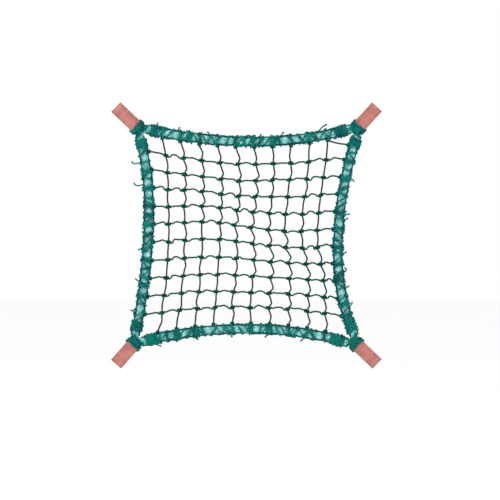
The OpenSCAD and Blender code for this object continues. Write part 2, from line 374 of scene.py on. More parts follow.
@dataclass(frozen=True)
class Finish:
    """A fibre finish: streaks along each strand, slow changes of shade, a soft sheen, and painted shade
    and light from the tone attribute.
    """

    name: str
    dark: Colour
    base: Colour
    light: Colour
    roughness: float = 0.75
    sheen: float = 0.0
    gloss: float = 0.12
    streak: float = 2.2
    stretch: float = 0.3
    bump: float = 0.5
    patch_scale: float = 14.0
    patch_colour: Colour = (0.0, 0.0, 0.0)
    patch_share: float = 0.25
    tight_colour: Colour = (0.0, 0.0, 0.0)
    tight_share: float = 0.0

    def material(self) -> bpy.types.Material:
        """Returns the material, which is made once."""
        made = bpy.data.materials.get(self.name)
        return made if made else self._make()

    def _make(self) -> bpy.types.Material:
        """Builds the node tree.

        Returns:
            The new material.
        """
        material = bpy.data.materials.new(self.name)
        material.use_nodes = True
        tree = material.node_tree
        shader = tree.nodes["Principled BSDF"]
        for socket, value in (
            ("Roughness", self.roughness),
            ("Sheen Weight", self.sheen),
            ("Sheen Roughness", SHEEN_ROUGHNESS),
            ("Specular IOR Level", self.gloss),
        ):
            shader.inputs[socket].default_value = value
        streaks = self._streaks(tree)
        place = tree.nodes.new("ShaderNodeTexCoord")
        patches = tree.nodes.new("ShaderNodeTexNoise")
        patches.inputs["Scale"].default_value = self.patch_scale
        patches.inputs["Detail"].default_value = 3.0
        tree.links.new(place.outputs["Object"], patches.inputs["Vector"])
        patched = self._blend(
            tree, self._ranged(tree, patches.outputs["Fac"], (0.42, 0.66), (0.0, self.patch_share)),
            self._fibre_colour(tree, streaks), self.patch_colour,
        )
        # Painted shade and light: the tone attribute scales the base colour from a quarter at 0 to one
        # and three quarters at 1, so low tones darken knots and covered places and high tones lighten
        # outer yarns and the middle of the webbing.
        tone = tree.nodes.new("ShaderNodeAttribute")
        tone.attribute_name = "tone"
        shade = self._ranged(tree, tone.outputs["Fac"], (0.0, 1.0), (0.25, 1.75))
        # Low tones also blend in tight_colour, the greener colour of the knots.
        tight = self._blend(
            tree, self._ranged(tree, tone.outputs["Fac"], (0.46, 0.34), (0.0, self.tight_share)),
            patched, self.tight_colour,
        )
        toned = tree.nodes.new("ShaderNodeVectorMath")
        toned.operation = "SCALE"
        tree.links.new(tight, toned.inputs[0])
        tree.links.new(shade, toned.inputs["Scale"])
        tree.links.new(toned.outputs["Vector"], shader.inputs["Base Color"])
        bump = tree.nodes.new("ShaderNodeBump")
        bump.inputs["Strength"].default_value = self.bump
        bump.inputs["Distance"].default_value = 0.6 * MM
        tree.links.new(streaks, bump.inputs["Height"])
        tree.links.new(bump.outputs["Normal"], shader.inputs["Normal"])
        return material

    def _streaks(self, tree: bpy.types.NodeTree) -> bpy.types.NodeSocket:
        """Adds the streaks that run along each strand.

        Args:
            tree: The node tree to add to.

        Returns:
            The strength of the streaks.
        """
        fibre = tree.nodes.new("ShaderNodeAttribute")
        fibre.attribute_name = "strand"
        mapping = tree.nodes.new("ShaderNodeMapping")
        mapping.inputs["Scale"].default_value = (self.streak, self.streak, self.stretch)
        tree.links.new(fibre.outputs["Vector"], mapping.inputs["Vector"])
        streaks = tree.nodes.new("ShaderNodeTexNoise")
        for socket, value in (("Scale", 2.4), ("Detail", 5.0), ("Roughness", 0.65)):
            streaks.inputs[socket].default_value = value
        tree.links.new(mapping.outputs["Vector"], streaks.inputs["Vector"])
        return streaks.outputs["Fac"]

    def _fibre_colour(
        self, tree: bpy.types.NodeTree, streaks: bpy.types.NodeSocket
    ) -> bpy.types.NodeSocket:
        """Colours the streaks from dark through base to light.

        Args:
            tree: The node tree to add to.
            streaks: The strength of the streaks.

        Returns:
            The colour of the fibres.
        """
        ramp = tree.nodes.new("ShaderNodeValToRGB")
        stops = ramp.color_ramp.elements
        stops[0].position, stops[0].color = 0.36, (*self.dark, 1)
        stops[1].position, stops[1].color = 0.67, (*self.light, 1)
        stops.new(0.52).color = (*self.base, 1)
        tree.links.new(streaks, ramp.inputs["Fac"])
        return ramp.outputs["Color"]

    @staticmethod
    def _ranged(
        tree: bpy.types.NodeTree, value: bpy.types.NodeSocket,
        taken: tuple[float, float], given: tuple[float, float],
    ) -> bpy.types.NodeSocket:
        """Carries one range of values over to another.

        Args:
            tree: The node tree to add to.
            value: The value to carry over.
            taken: The two ends of the range that it comes from.
            given: The two ends of the range that it goes to.

        Returns:
            The new value.
        """
        node = tree.nodes.new("ShaderNodeMapRange")
        sockets = ("From Min", "From Max", "To Min", "To Max")
        for socket, end in zip(sockets, (*taken, *given)):
            node.inputs[socket].default_value = end
        tree.links.new(value, node.inputs["Value"])
        return node.outputs["Result"]

    @staticmethod
    def _blend(
        tree: bpy.types.NodeTree, share: bpy.types.NodeSocket,
        under: bpy.types.NodeSocket, over: Colour,
    ) -> bpy.types.NodeSocket:
        """Lays a plain colour over another by a share that varies.

        Args:
            tree: The node tree to add to.
            share: How much of the plain colour shows.
            under: The colour below.
            over: The plain colour.

        Returns:
            The colour of both together.
        """
        mix = tree.nodes.new("ShaderNodeMix")
        mix.data_type = "RGBA"
        mix.inputs["B"].default_value = (*over, 1)
        tree.links.new(share, mix.inputs["Factor"])
        tree.links.new(under, mix.inputs["A"])
        return mix.outputs["Result"]


NET_CORD = Finish(
    "twisted_green_cord",
    dark=srgb(2, 34, 33), base=srgb(10, 58, 54), light=srgb(34, 100, 92),
    patch_colour=srgb(2, 48, 50), patch_share=0.4, roughness=0.8,
    tight_colour=srgb(0, 92, 80), tight_share=0.75,
)
EDGE_CORD = Finish(
    "dark_green_cord",
    dark=srgb(0, 38, 38), base=srgb(0, 74, 70), light=srgb(8, 132, 122),
    patch_colour=srgb(0, 50, 60), patch_share=0.4, roughness=0.8,
)
LACING_CORD = Finish(
    "green_lacing_cord",
    dark=srgb(0, 46, 46), base=srgb(0, 112, 104), light=srgb(16, 204, 186),
    patch_colour=srgb(0, 56, 68), patch_share=0.65, roughness=0.7, patch_scale=22.0,
)
AQUA_ROPE = Finish(
    "aqua_rope",
    dark=srgb(26, 126, 122), base=srgb(124, 198, 196), light=srgb(228, 252, 252),
    patch_colour=srgb(8, 132, 124), patch_share=0.7, roughness=0.45, gloss=0.35, patch_scale=26.0,
    streak=1.6, stretch=0.12, bump=0.8,
)
SALMON_WEBBING = Finish(
    "salmon_webbing",
    dark=srgb(122, 66, 60), base=srgb(176, 112, 104), light=srgb(222, 150, 138),
    patch_colour=srgb(122, 74, 70), patch_share=0.5, roughness=0.7, sheen=0.1, gloss=0.3,
    streak=2.0, stretch=1.4, bump=0.7,
)
STITCH_THREAD = Finish(
    "salmon_stitch_thread",
    dark=srgb(190, 110, 98), base=srgb(240, 176, 162), light=srgb(255, 214, 200), roughness=0.6,
)


# ---------------------------------------------------------------- the frame, read as places


def solids_of(node: str) -> list[tuple[Points, Points]]:
    """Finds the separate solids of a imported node.

    Args:
        node: The name of the node.

    Returns:
        The lowest and highest corner of each solid.
    """
    mesh = frame["nodes"][node].data
    places = np.empty(len(mesh.vertices) * 3, np.float32)
    mesh.vertices.foreach_get("co", places)
    places = places.reshape(-1, 3).astype(float)
    _, same = np.unique(np.round(places / 1e-5).astype(np.int64), axis=0, return_inverse=True)
    same = same.reshape(-1)
    edges = np.empty(len(mesh.edges) * 2, np.int32)
    mesh.edges.foreach_get("vertices", edges)
    edges = same[edges.reshape(-1, 2)]
    label = np.arange(same.max() + 1)
    while True:
        low = np.minimum(label[edges[:, 0]], label[edges[:, 1]])
        fresh = label.copy()
        np.minimum.at(fresh, edges[:, 0], low)
        np.minimum.at(fresh, edges[:, 1], low)
        fresh = fresh[fresh]
        if (fresh == label).all():
            break
        label = fresh
    label = label[same]
    groups = [places[label == one] for one in np.unique(label)]
    return [(group.min(axis=0), group.max(axis=0)) for group in groups]


def centres_of(node: str) -> Points:
    """Returns the middle of each solid of a node."""
    return np.array([(low + high) / 2 for low, high in solids_of(node)])


@dataclass(frozen=True)
class CornerPlace:
    """Where a corner bend and its strap are."""

    corner: Corner
    bend: Points
    hinge: Points
    hang: Points

    @property
    def way(self) -> Points:
        """Returns the direction in which the strap runs."""
        return unit(self.hang - self.bend)

    @property
    def cross(self) -> Points:
        """Returns the direction across the strap, in the plane of the net."""
        return np.cross(self.way, FRONT)

    def at(self, out: float | Points, across: float | Points, front: float | Points) -> Points:
        """Finds places given in the strap's own directions.

        Args:
            out: How far out along the strap, from the centre of the bend.
            across: How far across the strap.
            front: How far towards the front.

        Returns:
            The places.
        """
        return (
            self.bend
            + np.multiply.outer(out, self.way)
            + np.multiply.outer(across, self.cross)
            + np.multiply.outer(front, FRONT)
        )


@dataclass
class Border:
    """The closed line through the middle of the border rope, clockwise from the top left."""

    bend_radius: float = 30 * MM
    rope_radius: float = 20 * MM
    strap_start: float = 67 * MM
    step: float = 2 * MM
    bend_points: int = 6
    corners: dict[Corner, CornerPlace] = field(init=False)
    points: Points = field(init=False)
    length: Points = field(init=False)
    wraps: dict[Side, Points] = field(init=False)
    ends: dict[Side, tuple[float, float]] = field(init=False)

    def __post_init__(self) -> None:
        """Reads the corners and the lacing from the frame."""
        self.corners = {corner: self._corner(corner) for corner in Corner}
        order = list(Side)
        turns = {side: self._sorted_turns(side) for side in order}
        line, marks = [], {}
        for side, corner in zip(order, Corner):
            marks[side, "low"] = len(line)
            line.extend(turns[side])
            following = order[(order.index(side) + 1) % len(order)]
            line.extend(self._round_bend(corner, turns[side][-1], turns[following][0]))
        self.points, places = smooth_path(np.array(line), self.step, closed=True)
        self.length = arc_lengths(self.points)
        self.wraps = {}
        for side in order:
            first = marks[side, "low"]
            indices = np.arange(first, first + len(turns[side]))
            self.wraps[side] = np.interp(indices, places, self.length)
        self.ends = {side: self._side_ends(side) for side in order}

    def _corner(self, corner: Corner) -> CornerPlace:
        """Works out one corner from the bends and the hinge of its strap.

        Args:
            corner: The corner.

        Returns:
            Where its bend and its strap are.
        """
        signs = np.array(
            [1 if "right" in corner.value else -1, 0, 1 if "top" in corner.value else -1], float
        )
        boxes = solids_of("corner_bends")
        low, high = max(boxes, key=lambda box: float((box[0] + box[1]).dot(signs)))
        reach = self.bend_radius + self.rope_radius
        bend = np.where(signs > 0, high, low) - signs * reach
        bend[1] = 0.0
        eye = f"hanging_eye_{corner.value}"
        mount = next(m for m in frame["record"]["mounts"] if m["name"] == eye)
        hang = np.array(mount["pos_m"], float) * [1, 0, 1]
        return CornerPlace(corner, bend, bend + unit(hang - bend) * self.strap_start, hang)

    def _sorted_turns(self, side: Side) -> Points:
        """Sorts a side's turns of lacing.

        Args:
            side: The side of the border.

        Returns:
            The middles of the turns, in clockwise order.
        """
        turns = centres_of(f"lacing_{side.value}")
        axis, sign = {
            Side.TOP: (0, 1), Side.RIGHT: (2, -1), Side.BOTTOM: (0, -1), Side.LEFT: (2, 1),
        }[side]
        return turns[np.argsort(turns[:, axis] * sign)] * [1, 0, 1]

    def _round_bend(self, corner: Corner, before: Points, after: Points) -> list[Points]:
        """Runs round the outside of a corner bend, from one side to the next.

        Args:
            corner: The corner.
            before: The last place on the side before it.
            after: The first place on the side after it.

        Returns:
            The points of the bend.
        """
        bend = self.corners[corner].bend
        start = self._tangent_angle(bend, before, -1)
        stop = self._tangent_angle(bend, after, 1)
        while stop > start:
            stop -= TURN
        angles = np.linspace(start, stop, self.bend_points)
        ring = np.stack([np.cos(angles), np.zeros(self.bend_points), np.sin(angles)], axis=1)
        return list(bend + ring * self.bend_radius)

    def _tangent_angle(self, bend: Points, far: Points, sign: int) -> float:
        """Finds where a straight line touches a bend.

        Args:
            bend: The centre of the bend.
            far: The place that the line comes from.
            sign: The side on which it touches, 1 or -1.

        Returns:
            The angle round the bend.
        """
        v = far - bend
        reach = math.hypot(v[0], v[2])
        return math.atan2(v[2], v[0]) + sign * math.acos(self.bend_radius / reach)

    def _side_ends(self, side: Side) -> tuple[float, float]:
        """Finds where the length of rope of a side starts and stops.

        Args:
            side: The side of the border.

        Returns:
            Its start and its stop, as distances along the line.
        """
        box_low, box_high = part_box(f"border_rope_{side.value}")
        wraps = self.wraps[side]
        axis = 0 if side in (Side.TOP, Side.BOTTOM) else 2
        low, high = box_low[axis], box_high[axis]
        rest = self.points[:, axis]
        middle = (wraps[0] + wraps[-1]) / 2
        margin, beyond = 4 * MM, 90 * MM
        inside = (rest > low + margin) & (rest < high - margin)
        gaps = self.short_way(self.length - middle)
        near = np.abs(gaps) < (wraps[-1] - wraps[0]) / 2 + beyond
        offsets = gaps[inside & near]
        return middle + float(offsets.min()), middle + float(offsets.max())

    def short_way(self, gap: Points) -> Points:
        """Returns gaps along the closed line the short way round."""
        whole = self.length[-1]
        return (gap + whole / 2) % whole - whole / 2

    def at(self, s: Points | float) -> Points:
        """Returns points at the given distances along the line."""
        s = np.mod(np.asarray(s, float), self.length[-1])
        return np.stack([np.interp(s, self.length, self.points[:, k]) for k in range(3)], axis=-1)

    def outward(self, s: Points | float) -> Points:
        """Finds the directions away from the net.

        Args:
            s: Distances along the line.

        Returns:
            A direction for each distance.
        """
        s = np.asarray(s, float)
        reach = 1.5 * MM
        along = unit(self.at(s + reach) - self.at(s - reach))
        return np.cross(FRONT, along)

    def place(self, s: Points | float, out: Points | float, front: Points | float) -> Points:
        """Finds places beside the line.

        Args:
            s: Distances along the line.
            out: How far outward from it.
            front: How far towards the front.

        Returns:
            The places.
        """
        out = np.asarray(out, float)[..., None]
        front = np.asarray(front, float)[..., None]
        return self.at(s) + self.outward(s) * out + FRONT * front

    def nearest(self, point: Points) -> float:
        """Returns the distance along the line of its nearest place to a point."""
        return float(self.length[np.argmin(np.linalg.norm(self.points - point, axis=1))])


@dataclass
class Wander:
    """A smooth random function, the same at every run."""

    seed: int
    amount: float
    wave: float
    terms: int = 5

    def __post_init__(self) -> None:
        """Draws the waves."""
        rng = np.random.default_rng(self.seed)
        self._rate = TURN / (self.wave * rng.uniform(0.5, 2.0, self.terms))
        self._phase = rng.uniform(0, TURN, self.terms)
        self._size = rng.uniform(0.4, 1.0, self.terms)
        self._size *= self.amount / math.sqrt(float((self._size**2).sum()) / 2)

    def __call__(self, s: Points) -> Points:
        """Returns the function at the given places."""
        s = np.asarray(s, float)[..., None]
        return (np.sin(s * self._rate + self._phase) * self._size).sum(axis=-1)


# ---------------------------------------------------------------- the border


@dataclass
class RopeCore:
    """The border rope: a soft bunched bundle of pale yarns, pinched where the lacing goes round it."""

    border: Border
    radius: float = 18.6 * MM
    strands: int = 9
    lay: float = 0.26
    step: float = 3.5 * MM
    pinch: float = 0.16
    pinch_reach: float = 9 * MM
    yarns: int = 12
    yarn_radius: float = 1.7 * MM
    strand_share: float = 0.37

    def build(self) -> None:
        """Builds the four sides and the corner bends."""
        self.pinches = np.sort(np.concatenate([wraps for wraps in self.border.wraps.values()]))
        order = list(Side)
        for side in order:
            start, stop = self.border.ends[side]
            work = MeshWork(f"border_rope_{side.value}_laid")
            self._run(work, start, stop)
            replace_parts(work.to_object(AQUA_ROPE), f"border_rope_{side.value}")
        bends = MeshWork("corner_bends_laid")
        for side, following in zip(order, order[1:] + order[:1]):
            start, stop = self.border.ends[side][1], self.border.ends[following][0]
            if stop < start:
                stop += self.border.length[-1]
            self._run(bends, start, stop)
        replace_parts(bends.to_object(AQUA_ROPE), "corner_bends")

    def _squeeze(self, s: Points) -> Points:
        """Returns how tightly the lacing pinches the rope, from 0 to 1."""
        gap = np.abs(self.border.short_way(s[:, None] - self.pinches[None])).min(axis=1)
        return np.exp(-((gap / self.pinch_reach) ** 2))

    def _run(self, work: MeshWork, start: float, stop: float) -> None:
        """Adds the strands and surface yarns of one length of rope.

        Args:
            work: The piece to add to.
            start: Where the length starts on the border line.
            stop: Where it stops.
        """
        s = np.linspace(start, stop, max(8, int((stop - start) / self.step)))
        wrapped = np.mod(s, self.border.length[-1])
        squeeze = self._squeeze(s)
        size = self.radius * (1.04 - self.pinch * squeeze)
        for k in range(self.strands):
            sway = Wander(100 + k, 0.22, 0.12)(wrapped)
            turn = TURN * (k / self.strands + s / self.lay) + sway
            bulge = 1 + Wander(200 + k, 0.10, 0.07)(wrapped)
            thick = self.strand_share * size * (1 + Wander(300 + k, 0.08, 0.09)(wrapped))
            reach = (size - thick) * bulge
            # Painted shade: the strands darken where the lacing pinches the rope.
            self._strand(work, s, turn, reach, thick, 0.5 - 0.22 * squeeze, 10)
        for k in range(self.yarns):
            sway = Wander(400 + k, 0.9, 0.16)(wrapped)
            turn = TURN * (k / self.yarns - s / (self.lay * 1.7)) + sway
            thick = np.full(len(s), self.yarn_radius) * (1 + Wander(500 + k, 0.25, 0.1)(wrapped))
            reach = size * (1 + Wander(600 + k, 0.05, 0.06)(wrapped)) - 0.4 * MM
            # Painted light and shade: the surface yarns get a higher tone than the strands below them,
            # and they darken under the lacing.
            self._strand(work, s, turn, reach, thick, 0.62 - 0.25 * squeeze, 6)

    def _strand(
        self, work: MeshWork, s: Points, turn: Points, reach: Points, thick: Points,
        tone: Points, sides: int,
    ) -> None:
        """Adds one strand that runs round the middle of the rope.

        Args:
            work: The piece to add to.
            s: Distances along the border line.
            turn: Its angle round the middle at each distance.
            reach: How far it lies from the middle.
            thick: Its radius.
            tone: Its tone.
            sides: The number of sides of its rings.
        """
        centres = self.border.place(s, reach * np.sin(turn), reach * np.cos(turn))
        outward = centres - self.border.at(s)
        work.add_strand(centres, outward, thick, tone, sides)


@dataclass
class EdgeCords:
    """The dark green cords that run along the inner and outer edges of the border rope."""

    border: Border
    radius: float = 6 * MM
    offset: float = 22 * MM
    slack: float = 7 * MM
    drift: float = 8 * MM
    step: float = 3 * MM
    bow_gap: float = 25 * MM

    def build(self) -> None:
        """Builds the inner and the outer cord of each side."""
        for number, side in enumerate(Side):
            for edge, sign in (("inner", -1), ("outer", 1)):
                self._cord(side, edge, sign, 700 + 2 * number + (sign > 0))

    def _cord(self, side: Side, edge: str, sign: int, seed: int) -> None:
        """Builds one cord: it is tied down at each turn of lacing and bows out between them.

        Args:
            side: The side of the border.
            edge: The name of the edge, inner or outer.
            sign: Which way the edge lies, -1 inward or 1 outward.
            seed: The seed of its slack.
        """
        rng = np.random.default_rng(seed)
        start, stop = self.border.ends[side]
        ties = self.border.wraps[side]
        ties = ties[(ties > start + 5 * MM) & (ties < stop - 5 * MM)]
        marks, out, front = [start], [self.offset], [0.0]
        for here, after in zip(ties, np.append(ties[1:], stop)):
            marks.append(here)
            out.append(self.offset + rng.uniform(-1.2, 0.4) * MM)
            front.append(rng.uniform(-1, 1) * self.drift * 0.6)
            if after - here > self.bow_gap:
                marks.append(here + (after - here) * rng.uniform(0.35, 0.65))
                out.append(self.offset + self.slack * rng.uniform(0, 1) ** 2)
                front.append(rng.uniform(-1, 1) * self.drift)
        marks.append(stop)
        out.append(self.offset)
        front.append(0.0)
        s = np.arange(start, stop, self.step)
        reach = self._soft(np.interp(s, marks, out) * sign)
        height = self._soft(np.interp(s, marks, front))
        path, _ = smooth_path(self.border.place(s, reach, height), self.step)
        work = MeshWork(f"{edge}_edge_cord_{side.value}_laid")
        work.add_laid_cord(path, self.radius, 0.45, lay=0.032, phase=rng.uniform(0, TURN))
        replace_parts(work.to_object(EDGE_CORD), f"{edge}_edge_cord_{side.value}")

    @staticmethod
    def _soft(values: Points, reach: int = 3) -> Points:
        """Rounds off the corners of a row of values.

        Args:
            values: The values.
            reach: How many neighbours on each side count.

        Returns:
            The softened values.
        """
        window = np.ones(2 * reach + 1) / (2 * reach + 1)
        padded = np.concatenate([[values[0]] * reach, values, [values[-1]] * reach])
        return np.convolve(padded, window, mode="valid")


@dataclass(frozen=True)
class Tail:
    """A cut end of cord that sticks out of the border."""

    place: float
    length: float
    lean: float = 0.3
    curl: float = 0.6


TAILS = {
    Side.TOP: (
        Tail(-0.512, 0.022, 0.2), Tail(-0.386, 0.022, 0.1), Tail(-0.316, 0.016, -0.6),
        Tail(-0.210, 0.020, -0.5), Tail(-0.008, 0.034, 1.0, 1.8), Tail(0.076, 0.016, 0.2),
        Tail(0.199, 0.026, 0.4), Tail(0.406, 0.062, 0.9),
    ),
    Side.RIGHT: (
        Tail(0.328, 0.030, -0.5), Tail(0.120, 0.030, 0.1), Tail(0.087, 0.026, 0.5),
        Tail(-0.104, 0.026, 0.4), Tail(-0.210, 0.040, 0.5, 3.0), Tail(-0.297, 0.024, 0.2),
        Tail(-0.406, 0.030, 0.6),
    ),
    Side.BOTTOM: (
        Tail(-0.513, 0.034, 0.7), Tail(-0.409, 0.022, 0.8), Tail(-0.294, 0.026, 0.6),
        Tail(-0.092, 0.022, 0.3), Tail(0.115, 0.022, -0.3), Tail(0.322, 0.026, -0.4),
    ),
    Side.LEFT: (
        Tail(0.412, 0.056, -0.15, -1.5), Tail(0.288, 0.060, -0.2, -1.6),
        Tail(-0.076, 0.026, -0.2), Tail(-0.260, 0.028, 0.3), Tail(-0.420, 0.026, -0.3),
    ),
}


@dataclass
class Lacing:
    """The green cord wound round the border rope and both edge cords, with its knots and cut tails."""

    border: Border
    radius: float = 4.5 * MM
    half_width: float = 30.2 * MM
    half_depth: float = 25 * MM
    tuck: float = 10 * MM
    tuck_turn: float = 0.06
    pair_gap: float = 25 * MM
    bridge_share: float = 0.55
    band_share: float = 0.38
    band_pitch: float = 10 * MM
    points_per_turn: int = 34
    tail_front: float = 5 * MM

    def build(self) -> None:
        """Builds the lacing of each side."""
        for number, side in enumerate(Side):
            rng = np.random.default_rng(900 + number)
            work = MeshWork(f"lacing_{side.value}_wound")
            groups = self._groups(side)
            for middle, paired in groups:
                self._wrap(work, middle, paired, rng)
            for (here, _), (after, _) in zip(groups[:-1], groups[1:]):
                for face in (-1, 1):
                    if rng.random() < self.bridge_share:
                        self._bridge(work, here, after, face, rng)
            for tail in TAILS[side]:
                self._tail(work, side, tail, rng)
            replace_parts(work.to_object(LACING_CORD), f"lacing_{side.value}")

    def _groups(self, side: Side) -> list[tuple[float, bool]]:
        """Groups the turns of a side.

        Args:
            side: The side of the border.

        Returns:
            The middle of each group, and whether it is a pair that ties a net cord in.
        """
        turns = list(self.border.wraps[side])
        groups = []
        while turns:
            first = turns.pop(0)
            if turns and turns[0] - first < self.pair_gap:
                groups.append(((first + turns.pop(0)) / 2, True))
            else:
                groups.append((first, False))
        return groups

    def loop_path(
        self, middle: float, width: float, turns: float, start: float, slant: float,
        rng: np.random.Generator, proud: float = 0.0,
    ) -> Points:
        """Works out the way of a cord that goes round the border.

        Args:
            middle: Where the turns are centred on the border line.
            width: How far the cord moves along the rope over all its turns.
            turns: The number of turns.
            start: The angle at which it starts, in radians from the front.
            slant: How far each turn leans along the rope, front against back.
            rng: The random draws for small faults.
            proud: How far it lies above the first layer.

        Returns:
            The points of the way.
        """
        count = max(12, int(turns * self.points_per_turn))
        angle = start + np.linspace(0, turns, count) * TURN
        drift = np.linspace(-0.5, 0.5, count) * width
        lean = slant * np.sin(angle)
        fault = Wander(int(rng.integers(1 << 30)), 1.3 * MM, 3.0)(angle)
        s = middle + drift + lean + fault
        squash = 1 + Wander(int(rng.integers(1 << 30)), 0.03, 2.5)(angle)
        ends = np.linspace(0, turns, count)
        sunk = self.tuck * np.exp(-np.minimum(ends, turns - ends) / self.tuck_turn)
        out = (self.half_width + proud - sunk) * np.sin(angle) * squash
        front = (self.half_depth + proud - sunk) * np.cos(angle) * squash
        return self.border.place(s, out, front)

    def _wrap(self, work: MeshWork, middle: float, paired: bool, rng: np.random.Generator) -> None:
        """Adds one group of turns.

        Args:
            work: The piece to add to.
            middle: Where the group is centred.
            paired: Whether it ties a net cord in.
            rng: The random draws.
        """
        single_share, hitch_share = (0.3, 0.6) if paired else (0.7, 0.2)
        style = WrapStyle.BAND if rng.random() < self.band_share else WrapStyle.CROSS
        if rng.random() < single_share:
            style = WrapStyle.SINGLE
        middle = middle + rng.uniform(-1, 1) * (5 if paired else 13) * MM
        hand = rng.choice([-1, 1])
        loops = []
        if style is WrapStyle.BAND:
            width = rng.uniform(22, 42) * MM
            loops.append((width, width / self.band_pitch, hand * rng.uniform(2, 9) * MM, 0.0))
            over = rng.uniform(10, 16) * MM
            loops.append((over, 1.2, -hand * rng.uniform(8, 18) * MM, 3.5 * MM))
        elif style is WrapStyle.CROSS:
            slant = rng.uniform(10, 22) * MM
            loops.append((rng.uniform(8, 18) * MM, 1.6, hand * slant, 0.0))
            over = rng.uniform(6, 14) * MM
            loops.append((over, 1.5, -hand * slant * rng.uniform(0.3, 1), 2.5 * MM))
        else:
            width, turns = rng.uniform(8, 14) * MM, rng.uniform(1.3, 2.0)
            loops.append((width, turns, hand * rng.uniform(5, 20) * MM, 0.0))
        for width, turns, slant, proud in loops:
            path = self.loop_path(middle, width, turns, rng.uniform(0, TURN), slant, rng, proud)
            self._cord(work, path, rng)
        if rng.random() < hitch_share:
            self._edge_hitch(work, middle, rng)

    def _bridge(
        self, work: MeshWork, here: float, after: float, face: int, rng: np.random.Generator
    ) -> None:
        """Adds a length of cord that slants across one face from one group of turns to the next.

        Args:
            work: The piece to add to.
            here: Where the first group is centred.
            after: Where the next group is centred.
            face: The face that it crosses, 1 for the front or -1 for the back.
            rng: The random draws.
        """
        way = rng.choice([-1, 1])
        past = 0.12
        t = np.linspace(-past, 1 + past, 14)
        angle = (t - 0.5) * rng.uniform(0.75, 1.0) * math.pi * way
        s = here + (after - here) * np.clip(t + rng.uniform(-0.08, 0.08), -0.2, 1.2)
        ends = np.exp(-(t + past) / self.tuck_turn) + np.exp(-(1 + past - t) / self.tuck_turn)
        sunk = self.tuck * ends
        out = (self.half_width - sunk) * np.sin(angle)
        front = (self.half_depth - 2 * MM - sunk) * np.cos(angle) * face
        self._cord(work, self.border.place(s, out, front), rng, 0.46)

    def _cord(
        self, work: MeshWork, points: Points, rng: np.random.Generator, tone: float = 0.5
    ) -> None:
        """Adds a length of lacing cord along the points."""
        work.add_fine_cord(points, self.radius, tone + rng.uniform(-0.14, 0.16), rng)

    def _edge_hitch(self, work: MeshWork, middle: float, rng: np.random.Generator) -> None:
        """Adds a small knot on the outer edge, where two turns cross and lock.

        Args:
            work: The piece to add to.
            middle: Where it lies on the border line.
            rng: The random draws.
        """
        count = 40
        angle = np.linspace(0, 2.4 * TURN, count) + rng.uniform(0, TURN)
        grow = 1 + 0.15 * np.sin(angle * 0.41)
        s = middle + np.cos(angle) * 5.5 * MM * grow
        front = np.sin(angle) * 7 * MM * grow + rng.uniform(-3, 3) * MM
        rise = np.linspace(-5, 2.5, count) * MM
        out = self.half_width + rise + 1.5 * MM * np.sin(angle * 1.7)
        self._cord(work, self.border.place(s, out, front), rng, 0.42)

    def _tail(self, work: MeshWork, side: Side, tail: Tail, rng: np.random.Generator) -> None:
        """Adds one cut tail with a short hitch at its root.

        Args:
            work: The piece to add to.
            side: The side that it is on.
            tail: Its place and shape.
            rng: The random draws.
        """
        axis = 0 if side in (Side.TOP, Side.BOTTOM) else 2
        start, stop = self.border.ends[side]
        s = np.linspace(start, stop, 600)
        root = float(s[np.argmin(np.abs(self.border.at(s)[:, axis] - tail.place))])
        t = np.linspace(0, 1, 9)
        heading = tail.lean + tail.curl * t**3 * np.sign(tail.lean or 1)
        if side in (Side.RIGHT, Side.BOTTOM):
            heading = -heading
        step = tail.length / (len(t) - 1)
        forward = np.concatenate([[0.0], np.cumsum(np.sin(heading[1:]) * step)])
        rise = np.concatenate([[0.0], np.cumsum(np.cos(heading[1:]) * step)])
        out = self.half_width - 4 * MM + rise
        front = self.tail_front * np.sin(t * 2.2 + rng.uniform(0, 2)) + self.tail_front
        lead = self.border.place(
            root - forward[1] + np.array([-12, -6]) * MM * np.sign(forward[-1] or 1),
            np.array([20, 28]) * MM, np.array([18, 12]) * MM,
        )
        end = self.border.place(root, out, front) + np.outer(forward, self._along(root))
        points = np.vstack([lead, end])
        work.add_fine_cord(points, self.radius, 0.4, rng, step=3 * MM, taper=0.7)

    def _along(self, s: float) -> Points:
        """Returns the direction of the border line at s."""
        return unit(self.border.at(s + 2 * MM) - self.border.at(s - 2 * MM))


